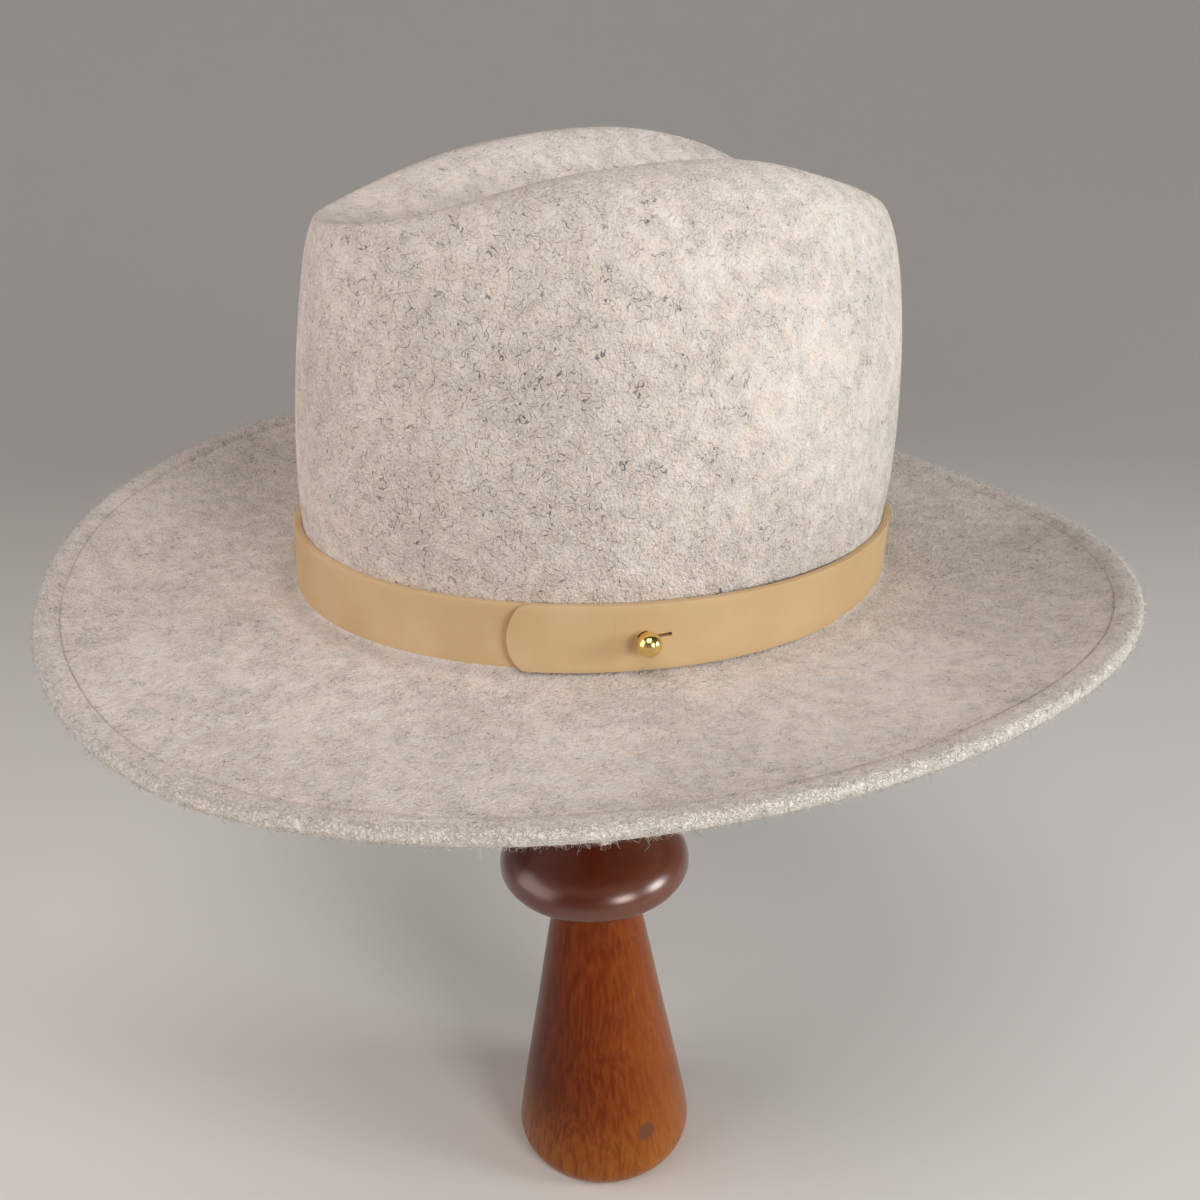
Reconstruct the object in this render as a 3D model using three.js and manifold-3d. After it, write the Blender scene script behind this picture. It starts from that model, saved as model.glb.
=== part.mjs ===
// A felt fedora hat on a turned wooden stand, in millimetres, +Z up.
// The stand's foot is centred on the origin and rests on z = 0. The hat faces -Y, with its
// leather strap lapped and studded on the wearer's left, at +X.
import * as THREE from 'three';
import { mergeVertices } from 'three/addons/utils/BufferGeometryUtils.js';
import Module from 'manifold-3d';

// Head opening, felt and gaps
const headLength = 205;
const headWidth = 166.8;
const feltThickness = 2.5;
const seatGap = 0.3;

// Crown wall: straight behind the strap, fullest just above it, then drawn in to the ridges
const strapZone = 22;
const fullestHeight = 32;
const fullestSwell = 1;

// The rim of the crown's dent, in equal turns from the back round the left side. The felt is soft,
// so the right ridge stands a little higher than the left one.
const ridgeRows = [
  { across: 0, along: 89.5, height: 116.5 },
  { across: 29, along: 81.5, height: 119 },
  { across: 41, along: 52, height: 127 },
  { across: 41, along: 12, height: 133.5 },
  { across: 36, along: -38, height: 129.5 },
  { across: 25, along: -80, height: 118.5 },
  { across: 0, along: -95, height: 114 },
  { across: -29, along: -82, height: 116 },
  { across: -37, along: -34, height: 130 },
  { across: -41, along: 18, height: 136.5 },
  { across: -40, along: 58, height: 132.5 },
  { across: -28, along: 82, height: 122 },
];

// The centre dent's floor is a straight crease, and each front pinch is a soft hollow
const dentFloor = { middle: -6, halfLength: 64, height: 109 };
const pinch = { along: -72, height: 90, depth: 5, reachAlong: 26, reachUp: 30, fadeIn: 34 };

// Brim: its outline, and the height of its edge above the crown's foot
const brimLength = 351;
const brimWidth = 343;
const brimForward = 6.2;
const brimSquareness = 2.13;
const edgeHeight = { mean: 8.6, backRise: 8.4, sideCurl: 8, quarterRoll: -1.1 };
const curlPower = 1.6;

// The brim's folded edge, seen in section from the pressed groove outward
const weltRows = [
  { fromEdge: 9.7, rise: 0, depth: feltThickness },
  { fromEdge: 7.8, rise: -0.6, depth: feltThickness },
  { fromEdge: 6.2, rise: 0.5, depth: 3.4 },
  { fromEdge: 3.9, rise: 0.8, depth: 3.8 },
  { fromEdge: 1.9, rise: 0.6, depth: 3.8 },
];
const edgeRadius = 2.2;

// Strap: one length of leather that laps over itself
const strapHeight = 20;
const strapThickness = 2.2;
const strapLift = 0.6;
const lapClimb = 1;
const underEndAngle = 105;
const tipAngle = 134;
const lapStart = 58;
const lapSettled = 100;
const tipLength = 6;
const tipTurn = 5;
const tipBlunt = 0.16;

// Ball stud and the keyhole it is pushed through
const studAngle = 112.5;
const ballRadius = 3.6;
const neckRadius = 1.8;
const flangeRadius = 4.2;
const flangeThickness = 0.8;
const studStandOff = 1.2;
const keyholeClearance = 0.35;
const slitLength = 8;
const slitWidth = 0.8;

// Stand
const footRadius = 35.6;
const footRound = 9;
const soleRadius = 29;
const footTaper = [
  { height: 14, radius: 35 },
  { height: 40, radius: 30.6 },
  { height: 70, radius: 25.3 },
  { height: 100, radius: 20.2 },
  { height: 114, radius: 17.7 },
];
const neckHeight = 124;
const neckWaist = 15.8;
const beadRadius = 36.6;
const beadHeight = 138.5;
const beadDepth = { below: 10, above: 14 };
const postRadius = 11;
const postFoot = 160;
const postCove = { out: 4, down: 6 };
const headRadius = 32;
const headTaper = 18;
const headRim = 6;
const headEdge = 358;
const headTop = 372.6;

// How the hat sits on the stand: lifted, a little off centre, tipped back and to its left
const hatSeat = { x: 3.5, y: 5.5, z: 265 };
const noseUp = THREE.MathUtils.degToRad(3.77);
const leanLeft = THREE.MathUtils.degToRad(2.26);

// Facets, and the places along a section where its points stand
const hatSides = 72;
const standSides = 44;
const studSides = 20;
const strapSteps = 96;
const dentShares = [0, 0.22, 0.42, 0.62, 0.82];
const wallTurns = [90, 76, 62, 48, 34, 22, 11, 0];
const brimShares = [0.1, 0.32, 0.55, 0.78];
const edgeTurns = [36, 72, 108, 144];
const weldReach = 1e-3;
const overcut = 1;

const { sin, cos, abs, sign, hypot, PI } = Math;
const radians = THREE.MathUtils.degToRad;
const smooth = (x, from, to) => THREE.MathUtils.smoothstep(x, from, to);

const felt = new THREE.MeshStandardMaterial({ color: '#cfc4b8', roughness: 0.95, metalness: 0 });
const leather = new THREE.MeshStandardMaterial({ color: '#c4a274', roughness: 0.55, metalness: 0 });
const brass = new THREE.MeshStandardMaterial({ color: '#d8a83c', roughness: 0.18, metalness: 1 });
const wood = new THREE.MeshStandardMaterial({ color: '#6e3413', roughness: 0.35, metalness: 0 });

const wasm = await Module();
wasm.setup();

// Angles run from the back of the hat (0) by its left side (90) to the front (180).

function ovalPoint(angle, outset, height) {
  const across = (headWidth / 2 + outset) * sin(angle);
  const along = (headLength / 2 + outset) * cos(angle);
  return new THREE.Vector3(across, along, height);
}

const ridgePoints = ridgeRows.map((row) => new THREE.Vector3(row.across, row.along, row.height));
const ridge = new THREE.CatmullRomCurve3(ridgePoints, true, 'catmullrom', 0.5);

function brimEdgePoint(angle) {
  const halfLength = brimLength / 2;
  const halfWidth = brimWidth / 2;
  const along = abs(cos(angle) / halfLength) ** brimSquareness;
  const across = abs(sin(angle) / halfWidth) ** brimSquareness;
  const reach = (along + across) ** (-1 / brimSquareness);
  const height =
    edgeHeight.mean +
    edgeHeight.backRise * cos(angle) -
    edgeHeight.sideCurl * cos(2 * angle) +
    edgeHeight.quarterRoll * cos(4 * angle);
  return new THREE.Vector3(reach * sin(angle), reach * cos(angle) - brimForward, height);
}

// Pushes a point of the crown inward where a front pinch is

function pinched(point) {
  const offAlong = (point.y - pinch.along) / pinch.reachAlong;
  const offUp = (point.z - pinch.height) / pinch.reachUp;
  const push = pinch.depth * Math.exp(-offAlong * offAlong - offUp * offUp);
  point.x -= sign(point.x) * push * smooth(abs(point.x), 0, pinch.fadeIn);
  return point;
}

// Each section runs from the dent's floor over the ridge, down the wall and out along the brim.
// A stop on it holds a point of the felt's top face, how far the fold lifts it, and the depth below.

function crownStops(angle) {
  const top = ridge.getPoint(angle / (2 * PI));
  const along = dentFloor.middle + dentFloor.halfLength * cos(angle);
  const floor = new THREE.Vector3(0, along, dentFloor.height);
  const stops = [];
  for (const share of dentShares) {
    const point = floor.clone().lerp(top, share);
    const climb = (1 - cos(PI * share)) / 2;
    point.z = floor.z + (top.z - floor.z) * climb;
    stops.push(pinched(point));
  }
  const wall = ovalPoint(angle, fullestSwell, fullestHeight);
  for (const turn of wallTurns) {
    const out = cos(radians(turn));
    const up = sin(radians(turn));
    const point = top.clone().lerp(wall, out);
    point.z = wall.z + (top.z - wall.z) * up;
    stops.push(pinched(point));
  }
  stops.push(ovalPoint(angle, 0, strapZone));
  return stops.map((point) => ({ point, rise: 0, depth: feltThickness }));
}

function brimStops(angle) {
  const foot = ovalPoint(angle, 0, 0);
  const edge = brimEdgePoint(angle);
  const width = hypot(edge.x - foot.x, edge.y - foot.y);
  const at = (share, rise, depth) => {
    const point = foot.clone().lerp(edge, share);
    point.z = edge.z * share ** curlPower;
    return { point, rise, depth };
  };
  const grooveShare = 1 - weltRows[0].fromEdge / width;
  const stops = [at(0, 0, feltThickness * Math.SQRT2)];
  for (const share of brimShares) {
    stops.push(at(grooveShare * share, 0, feltThickness));
  }
  for (const row of weltRows) {
    stops.push(at(1 - row.fromEdge / width, row.rise, row.depth));
  }
  return stops;
}

function outwardNormal(sections, i, k) {
  const before = sections[(i + hatSides - 1) % hatSides];
  const after = sections[(i + 1) % hatSides];
  const section = sections[i];
  if (k === 0) {
    return new THREE.Vector3(0, 0, 1);
  }
  const round = after[k].point.clone().sub(before[k].point);
  const inner = section[k - 1].point;
  const outer = section[Math.min(k + 1, section.length - 1)].point;
  const out = outer.clone().sub(inner);
  return out.cross(round).normalize().negate();
}

function feltSection(sections, i) {
  const section = sections[i];
  const normals = section.map((stop, k) => outwardNormal(sections, i, k));
  const top = section.map((stop, k) => stop.point.clone().addScaledVector(normals[k], stop.rise));
  const under = section.map((stop, k) => stop.point.clone().addScaledVector(normals[k], -stop.depth));
  const lastTop = top.at(-1);
  const lastUnder = under.at(-1);
  const middle = lastTop.clone().add(lastUnder).multiplyScalar(0.5);
  const half = lastTop.clone().sub(middle);
  const normal = normals.at(-1);
  const out = middle.clone().sub(new THREE.Vector3(0, 0, middle.z));
  out.addScaledVector(normal, -out.dot(normal)).normalize();
  const edge = edgeTurns.map((turn) => {
    const point = middle.clone().addScaledVector(half, cos(radians(turn)));
    return point.addScaledVector(out, edgeRadius * sin(radians(turn)));
  });
  return [...top, ...edge, ...under.reverse()];
}

// Joins rings of equal length into one closed skin

function skin(rings, closedRound) {
  const positions = rings.flat().flatMap((point) => [point.x, point.y, point.z]);
  const size = rings[0].length;
  const index = [];
  const last = closedRound ? rings.length : rings.length - 1;
  const steps = closedRound ? size - 1 : size;
  for (let i = 0; i < last; i += 1) {
    const next = (i + 1) % rings.length;
    for (let k = 0; k < steps; k += 1) {
      const kNext = (k + 1) % size;
      const a = i * size + k;
      const b = next * size + k;
      const c = next * size + kNext;
      const d = i * size + kNext;
      index.push(a, b, c, a, c, d);
    }
  }
  return { positions, index };
}

function closedGeometry(positions, index) {
  const raw = new THREE.BufferGeometry();
  raw.setAttribute('position', new THREE.Float32BufferAttribute(positions, 3));
  raw.setIndex(index);
  const merged = mergeVertices(raw, weldReach);
  const order = merged.index.array;
  const kept = [];
  for (let i = 0; i < order.length; i += 3) {
    const [a, b, c] = order.slice(i, i + 3);
    if (a !== b && b !== c && c !== a) {
      kept.push(a, b, c);
    }
  }
  merged.setIndex(kept);
  merged.computeVertexNormals();
  return merged;
}

function feltBody() {
  const sections = [];
  for (let i = 0; i < hatSides; i += 1) {
    const angle = (2 * PI * i) / hatSides;
    sections.push([...crownStops(angle), ...brimStops(angle)]);
  }
  const rings = sections.map((section, i) => feltSection(sections, i));
  const { positions, index } = skin(rings, true);
  return closedGeometry(positions, index);
}

// Leather strap: a strip that starts under its own lap, runs once round and laps over its start

function strapStations() {
  const stations = [];
  const tipStart = 360 + tipAngle - tipTurn;
  for (let i = 0; i <= strapSteps; i += 1) {
    stations.push(underEndAngle + ((tipStart - underEndAngle) * i) / strapSteps);
  }
  for (const share of [0.25, 0.5, 0.7, 0.85, 0.95, 1]) {
    stations.push(tipStart + tipTurn * share);
  }
  return stations;
}

function strapPoint(degrees, outset, height) {
  const lapped = smooth(degrees, 360 + lapStart, 360 + lapSettled);
  const layer = lapped * (strapThickness + seatGap);
  const climb = lapped * lapClimb;
  return ovalPoint(radians(degrees), seatGap + layer + outset, strapLift + climb + height);
}

function strapBlank() {
  const tip = 360 + tipAngle;
  const tipPlace = strapPoint(tip, 0, 0);
  const rings = strapStations().map((degrees) => {
    const toTip = degrees > tip - 2 * tipTurn ? strapPoint(degrees, 0, 0).distanceTo(tipPlace) : tipLength;
    const left = 1 - Math.min(toTip / tipLength, 1);
    const half = (strapHeight / 2) * Math.max(Math.sqrt(1 - left * left), tipBlunt);
    const low = strapHeight / 2 - half;
    const high = strapHeight / 2 + half;
    return [
      strapPoint(degrees, 0, low),
      strapPoint(degrees, 0, high),
      strapPoint(degrees, strapThickness, high),
      strapPoint(degrees, strapThickness, low),
    ];
  });
  const { positions, index } = skin(rings, false);
  const end = (rings.length - 1) * 4;
  index.push(0, 1, 2, 0, 2, 3);
  index.push(end, end + 2, end + 1, end, end + 3, end + 2);
  return closedGeometry(positions, index);
}

function toSolid(geometry) {
  const bare = geometry.clone();
  bare.deleteAttribute('normal');
  bare.deleteAttribute('uv');
  const merged = mergeVertices(bare, weldReach);
  const vertProperties = new Float32Array(merged.attributes.position.array);
  const triVerts = new Uint32Array(merged.index.array);
  return new wasm.Manifold(new wasm.Mesh({ numProp: 3, vertProperties, triVerts }));
}

function toGeometry(solid) {
  const mesh = solid.getMesh();
  const geometry = new THREE.BufferGeometry();
  geometry.setAttribute('position', new THREE.Float32BufferAttribute(mesh.vertProperties, 3));
  geometry.setIndex([...mesh.triVerts]);
  geometry.computeVertexNormals();
  return geometry;
}

// Frame of the stud: its origin on the felt behind the strap, +Y straight out, +X toward the front

function studFrame() {
  const angle = radians(studAngle);
  const place = ovalPoint(angle, 0, strapLift + lapClimb + strapHeight / 2);
  const front = new THREE.Vector3(headWidth * cos(angle), -headLength * sin(angle), 0).normalize();
  const up = new THREE.Vector3(0, 0, 1);
  const out = up.clone().cross(front);
  return new THREE.Matrix4().makeBasis(front, out, up).setPosition(place);
}

function turned(profile, sides) {
  const lathe = new THREE.LatheGeometry(profile.map(([x, y]) => new THREE.Vector2(x, y)), sides);
  lathe.deleteAttribute('normal');
  lathe.deleteAttribute('uv');
  return closedGeometry([...lathe.attributes.position.array], [...lathe.index.array]);
}

const innerFace = seatGap;
const outerFace = 2 * seatGap + 2 * strapThickness;
const ballCentre = outerFace + studStandOff + Math.sqrt(ballRadius ** 2 - neckRadius ** 2);

function ballStud() {
  const profile = [[0, innerFace], [flangeRadius, innerFace], [flangeRadius, innerFace + flangeThickness]];
  profile.push([neckRadius, innerFace + flangeThickness]);
  const joinTurn = Math.asin(neckRadius / ballRadius);
  const steps = 9;
  for (let i = 0; i <= steps; i += 1) {
    const turn = PI - joinTurn - ((PI - joinTurn) * i) / steps;
    const radius = i === steps ? 0 : ballRadius * sin(turn);
    profile.push([radius, ballCentre + ballRadius * cos(turn)]);
  }
  return turned(profile, studSides).applyMatrix4(studFrame());
}

function plug(radius, top) {
  return turned([[0, -overcut], [radius, -overcut], [radius, top], [0, top]], studSides);
}

// The keyhole is a hole for the neck, a pocket behind for the flange, and a slit in the outer layer

function leatherStrap() {
  const frame = studFrame();
  const holeRadius = neckRadius + keyholeClearance;
  const hole = plug(holeRadius, outerFace + overcut);
  const pocketRadius = flangeRadius + keyholeClearance;
  const pocket = plug(pocketRadius, innerFace + flangeThickness + keyholeClearance);
  const slitDepth = strapThickness + seatGap / 2 + overcut;
  const slit = new THREE.BoxGeometry(slitLength, slitDepth, slitWidth);
  slit.translate(-slitLength / 2, outerFace + overcut - slitDepth / 2, 0);
  const tools = [hole, pocket, slit].map((tool) => toSolid(tool.applyMatrix4(frame)));
  const strap = tools.reduce((solid, tool) => solid.subtract(tool), toSolid(strapBlank()));
  return toGeometry(strap);
}

// Stand: one turning, with a plain post and a plain round head hidden under the crown

function standProfile() {
  const profile = [[0, 0], [soleRadius, 0]];
  for (const turn of [22, 45, 68, 90]) {
    const x = soleRadius + (footRadius - soleRadius) * sin(radians(turn));
    const z = footRound * (1 - cos(radians(turn)));
    profile.push([x, z]);
  }
  for (const row of footTaper) {
    profile.push([row.radius, row.height]);
  }
  profile.push([neckWaist, neckHeight]);
  for (let turn = -75; turn <= 60; turn += 15) {
    const depth = turn < 0 ? beadDepth.below : beadDepth.above;
    const x = neckWaist + (beadRadius - neckWaist) * cos(radians(turn));
    const z = beadHeight + depth * sin(radians(turn));
    profile.push([x, z]);
  }
  profile.push([postRadius + postCove.out, postFoot - postCove.down], [postRadius, postFoot]);
  profile.push([postRadius, headEdge - headRim - headTaper]);
  profile.push([headRadius, headEdge - headRim], [headRadius, headEdge]);
  const steps = 6;
  for (let i = 1; i <= steps; i += 1) {
    const share = i / steps;
    const x = i === steps ? 0 : headRadius * (1 - share);
    profile.push([x, headEdge + (headTop - headEdge) * (1 - (1 - share) ** 2)]);
  }
  return profile;
}

function woodStand() {
  const geometry = turned(standProfile(), standSides);
  geometry.rotateX(PI / 2);
  return geometry;
}

function named(name, geometry, material) {
  const mesh = new THREE.Mesh(geometry, material);
  mesh.name = name;
  return mesh;
}

const hat = new THREE.Group();
hat.add(named('felt_body', feltBody(), felt));
hat.add(named('leather_band', leatherStrap(), leather));
hat.add(named('ball_stud', ballStud(), brass));
hat.position.set(hatSeat.x, hatSeat.y, hatSeat.z);
hat.rotation.set(-noseUp, leanLeft, 0);

const model = new THREE.Group();
model.add(hat);
model.add(named('wood_stand', woodStand(), wood));

export default model;
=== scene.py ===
# A heathered wool-felt hat with a leather strap and a brass ball stud, on a turned wooden stand.
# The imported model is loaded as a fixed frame. Each section below dresses one piece of it.
import math

import bpy
import numpy as np
from mathutils import Matrix, Quaternion, Vector, noise


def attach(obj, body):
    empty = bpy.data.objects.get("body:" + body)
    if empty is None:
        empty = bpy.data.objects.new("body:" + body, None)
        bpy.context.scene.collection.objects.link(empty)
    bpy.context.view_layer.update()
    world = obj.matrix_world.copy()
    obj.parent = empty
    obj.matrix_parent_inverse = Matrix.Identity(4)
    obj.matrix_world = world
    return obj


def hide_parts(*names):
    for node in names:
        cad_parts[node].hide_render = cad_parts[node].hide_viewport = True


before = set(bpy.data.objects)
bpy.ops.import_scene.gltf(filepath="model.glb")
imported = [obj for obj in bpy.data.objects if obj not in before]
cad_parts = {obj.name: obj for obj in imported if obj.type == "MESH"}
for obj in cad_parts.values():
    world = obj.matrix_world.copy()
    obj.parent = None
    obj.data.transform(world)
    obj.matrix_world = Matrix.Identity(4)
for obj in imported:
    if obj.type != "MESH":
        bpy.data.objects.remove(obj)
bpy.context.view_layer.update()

# The camera looks a little down at the wearer's left side and front, and leans two degrees.
camera = bpy.data.objects.new("camera", bpy.data.cameras.new("camera"))
bpy.context.collection.objects.link(camera)
camera.data.sensor_width = 36
camera.data.lens = 37.61
camera.data.clip_start = 0.02
camera.location = (0.34186, -0.2155, 0.42757)
aim = Vector((0.00299, 0.0046, 0.24767))
lean = Quaternion((0, 0, 1), math.radians(-1.9))
camera.rotation_mode = "QUATERNION"
camera.rotation_quaternion = (aim - camera.location).to_track_quat("-Z", "Y") @ lean
bpy.context.scene.camera = camera
bpy.context.scene.view_settings.view_transform = "Standard"


# Small helpers for the materials and for picking a piece
def linear(code):
    """An sRGB hex colour as the linear RGBA that a shader takes."""
    parts = [int(code[i : i + 2], 16) / 255 for i in (1, 3, 5)]
    return (*[c / 12.92 if c <= 0.04045 else ((c + 0.055) / 1.055) ** 2.4 for c in parts], 1.0)


def add_node(material, kind, inputs=(), **settings):
    """Adds one shader node, with its settings, and with values or links on its inputs."""
    node = material.node_tree.nodes.new("ShaderNode" + kind)
    for name, value in settings.items():
        setattr(node, name, value)
    for name, value in dict(inputs).items():
        if isinstance(value, bpy.types.NodeSocket):
            material.node_tree.links.new(value, node.inputs[name])
        else:
            node.inputs[name].default_value = value
    return node


def new_material(name):
    """An empty node material, and its surface output."""
    material = bpy.data.materials.new(name)
    material.use_nodes = True
    material.node_tree.nodes.clear()
    return material, add_node(material, "OutputMaterial")


def finish_material(material, output, inputs):
    """Puts one Principled shader with these inputs on the material's surface."""
    shader = add_node(material, "BsdfPrincipled", inputs)
    material.node_tree.links.new(shader.outputs[0], output.inputs["Surface"])


def pick(piece):
    """Deselects everything but this piece, which becomes the active one."""
    bpy.ops.object.select_all(action="DESELECT")
    piece.select_set(True)
    bpy.context.view_layer.objects.active = piece


# The studio floor is a sheet of pale matt paper that curves up into a low wall all round.
# It isn't part of the object.
floor_radius = 1.1
cove_radius = 1.3
cove_steps = 12
bpy.ops.object.select_all(action="DESELECT")
bpy.ops.mesh.primitive_circle_add(vertices=128, radius=floor_radius, fill_type="NGON")
floor = bpy.context.object
floor.name = "studio_floor"
bpy.ops.object.mode_set(mode="EDIT")
bpy.ops.mesh.select_all(action="SELECT")
bpy.ops.mesh.region_to_loop()
reach = floor_radius
for step in range(cove_steps):
    turn = math.radians(90 * (step + 1) / cove_steps)
    before = math.radians(90 * step / cove_steps)
    rise = cove_radius * (math.cos(before) - math.cos(turn))
    wider = floor_radius + cove_radius * math.sin(turn)
    bpy.ops.mesh.extrude_edges_move(TRANSFORM_OT_translate={"value": (0, 0, rise)})
    bpy.ops.transform.resize(value=(wider / reach, wider / reach, 1), center_override=(0, 0, 0))
    reach = wider
bpy.ops.object.mode_set(mode="OBJECT")
bpy.ops.object.shade_smooth()
paper, paper_output = new_material("studio_paper")
finish_material(paper, paper_output, {"Base Color": linear("#e9e6e1"), "Roughness": 0.95})
floor.data.materials.append(paper)


# Soft studio light: two small boxes low on the wearer's left, one of them toward the back, a
# broad one from the front, and one from above the left front.
hat_middle = Vector((0.0, 0.0, 0.31))


def soft_box(name, turn, height, distance, size, watts, colour):
    """A square soft box that faces the hat. turn and height are in degrees as seen from it."""
    turn, height = math.radians(turn), math.radians(height)
    level = math.cos(height)
    toward = Vector((level * math.cos(turn), level * math.sin(turn), math.sin(height)))
    light = bpy.data.objects.new(name, bpy.data.lights.new(name, "AREA"))
    bpy.context.collection.objects.link(light)
    light.data.size = size
    light.data.energy = watts
    light.data.color = linear(colour)[:3]
    light.location = hat_middle + distance * toward
    light.visible_camera = False
    light.rotation_mode = "QUATERNION"
    light.rotation_quaternion = (-toward).to_track_quat("-Z", "Y")


soft_box("window", 42, 9, 1.35, 0.40, 7.9, "#f3fbff")
soft_box("low_fill", 0, 15, 1.35, 0.44, 6.4, "#fdfcf8")
soft_box("front_right", -108, 20, 1.35, 1.2, 8.7, "#fff4f2")
soft_box("top", -38, 61, 1.40, 0.9, 7.5, "#fff8f6")
world = bpy.data.worlds.new("room")
world.use_nodes = True
world.node_tree.nodes["Background"].inputs["Color"].default_value = linear("#e8e6e4")
world.node_tree.nodes["Background"].inputs["Strength"].default_value = 0.06
bpy.context.scene.world = world


# The hat is one piece of wool felt, blocked over a wooden form while wet, with a centre dent and
# two front pinches. The brim's edge is folded in and pressed, which leaves a groove 8 mm inside
# it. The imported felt's mesh is copied, merged into quads and subdivided.
nose_up = Matrix.Rotation(math.radians(-3.77), 4, "X")
lean_left = Matrix.Rotation(math.radians(2.26), 4, "Y")
hat_seat = Matrix.Translation((0.0035, 0.0055, 0.265))
hat_seat @= nose_up @ lean_left
brim_half_length = 0.1755
brim_half_width = 0.1715
brim_forward = 0.0062
brim_squareness = 2.13
crown_half_length = 0.1025
crown_half_width = 0.0834

felt = bpy.data.objects.new("wool_felt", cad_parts["felt_body"].data.copy())
bpy.context.collection.objects.link(felt)
pick(felt)
bpy.ops.mesh.customdata_custom_splitnormals_clear()
bpy.ops.object.mode_set(mode="EDIT")
bpy.ops.mesh.select_all(action="SELECT")
bpy.ops.mesh.remove_doubles(threshold=0.00002)
bpy.ops.mesh.tris_convert_to_quads(
    face_threshold=math.pi, shape_threshold=math.pi, topology_influence=2.0
)
bpy.ops.object.mode_set(mode="OBJECT")


def points_of(mesh):
    """The places of a mesh's vertices, a row for each."""
    places = np.empty(len(mesh.vertices) * 3)
    mesh.vertices.foreach_get("co", places)
    return places.reshape(-1, 3)


def in_hat(places):
    """World points in the hat's own frame: crown foot on z = 0, front toward -Y."""
    back = np.array(hat_seat.inverted())
    return places @ back[:3, :3].T + back[:3, 3]


def crown_share(own):
    """1 on the outline of the crown's foot, less inside it, more outside."""
    return np.hypot(own[:, 0] / crown_half_width, own[:, 1] / crown_half_length)


# Subdivision draws a mesh inward. The brim's and the crown's corners are first pushed out by what
# it takes off them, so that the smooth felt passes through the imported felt's own points. The fold
# at the crown's foot, under the strap, is left to round off.
smoother = felt.modifiers.new("smoother", "SUBSURF")
smoother.levels = smoother.render_levels = 2
blocked = points_of(felt.data)
own = in_hat(blocked)
brim_start, brim_fade = 1.25, 0.2
wall_start, wall_fade = 0.03, 0.02
on_the_brim = (crown_share(own) - brim_start) / brim_fade
up_the_wall = (own[:, 2] - wall_start) / wall_fade
firm = np.clip(np.maximum(on_the_brim, up_the_wall), 0, 1)[:, None]
corners = blocked.copy()
for _ in range(4):
    felt.data.vertices.foreach_set("co", corners.ravel())
    felt.data.update()
    bpy.context.view_layer.update()
    smooth = felt.evaluated_get(bpy.context.evaluated_depsgraph_get())
    corners += firm * (blocked - points_of(smooth.data)[: len(blocked)])
felt.data.vertices.foreach_set("co", corners.ravel())
felt.data.update()
bpy.ops.object.modifier_apply(modifier=smoother.name)
bpy.ops.object.shade_smooth()


def edge_distance(own):
    """How far inside the brim's edge each point of the hat's frame lies, in metres."""
    across = np.abs(own[:, 0]) / brim_half_width
    along = np.abs(own[:, 1] + brim_forward) / brim_half_length
    share = (across**brim_squareness + along**brim_squareness) ** (1 / brim_squareness)
    reach = np.hypot(own[:, 0], own[:, 1] + brim_forward)
    return np.where(share > 0.2, reach * (1 / np.maximum(share, 0.2) - 1), 0.1)


# Hand blocking leaves the brim a little uneven. The crown's foot and its dent keep their place,
# because the strap and the stand's head touch them.
places = points_of(felt.data)
own = in_hat(places)
crown_reach = crown_share(own)
loose_start, loose_fade = 1.15, 0.5
loose = np.clip((crown_reach - loose_start) / loose_fade, 0, 1)
wave_size = 0.07
wave_height = 0.0009
waves = np.array([noise.noise(Vector((x, y, 0.3)) / wave_size) for x, y in own[:, :2]])
places[:, 2] += wave_height * waves * loose

# The pressed groove on the upper face has partly filled again with wool, least on the front right
groove_inset = 0.0078
groove_width = 0.0009
groove_swell = 0.00055
from_middle = np.hypot(own[:, 0], own[:, 1])
front_right = (-0.556, -0.831)
upward = np.array([normal.vector[2] for normal in felt.data.vertex_normals])
toward_right = own[:, :2] @ front_right / np.maximum(from_middle, 0.01)
least_filled = 0.35
filled = np.clip(1 - (toward_right - 0.1) / 0.5, least_filled, 1) * (upward > 0.3)
off_groove = (edge_distance(own) - groove_inset) / groove_width
places[:, 2] += groove_swell * filled * np.exp(-(off_groove**2))
felt.data.vertices.foreach_set("co", places.ravel())
felt.data.update()
inset = felt.data.attributes.new("edge_inset", "FLOAT", "POINT")
inset.data.foreach_set("value", edge_distance(own) * 1000)

# Painted shade: along the strap's lower edge the felt is darkened for a few millimetres, as contact
# shade where the strap meets the brim
contact_shade_outset, contact_shade_width, contact_shade_top = 0.0045, 0.0055, 0.012
from_strap = from_middle * (1 - 1 / np.maximum(crown_reach, 0.5)) - contact_shade_outset
contact_shade_share = np.clip(1 - np.abs(from_strap) / contact_shade_width, 0, 1) * (own[:, 2] < contact_shade_top)
contact_shade_layer = felt.data.attributes.new("strap_contact_shade", "FLOAT", "POINT")
contact_shade_layer.data.foreach_set("value", contact_shade_share)
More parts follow.
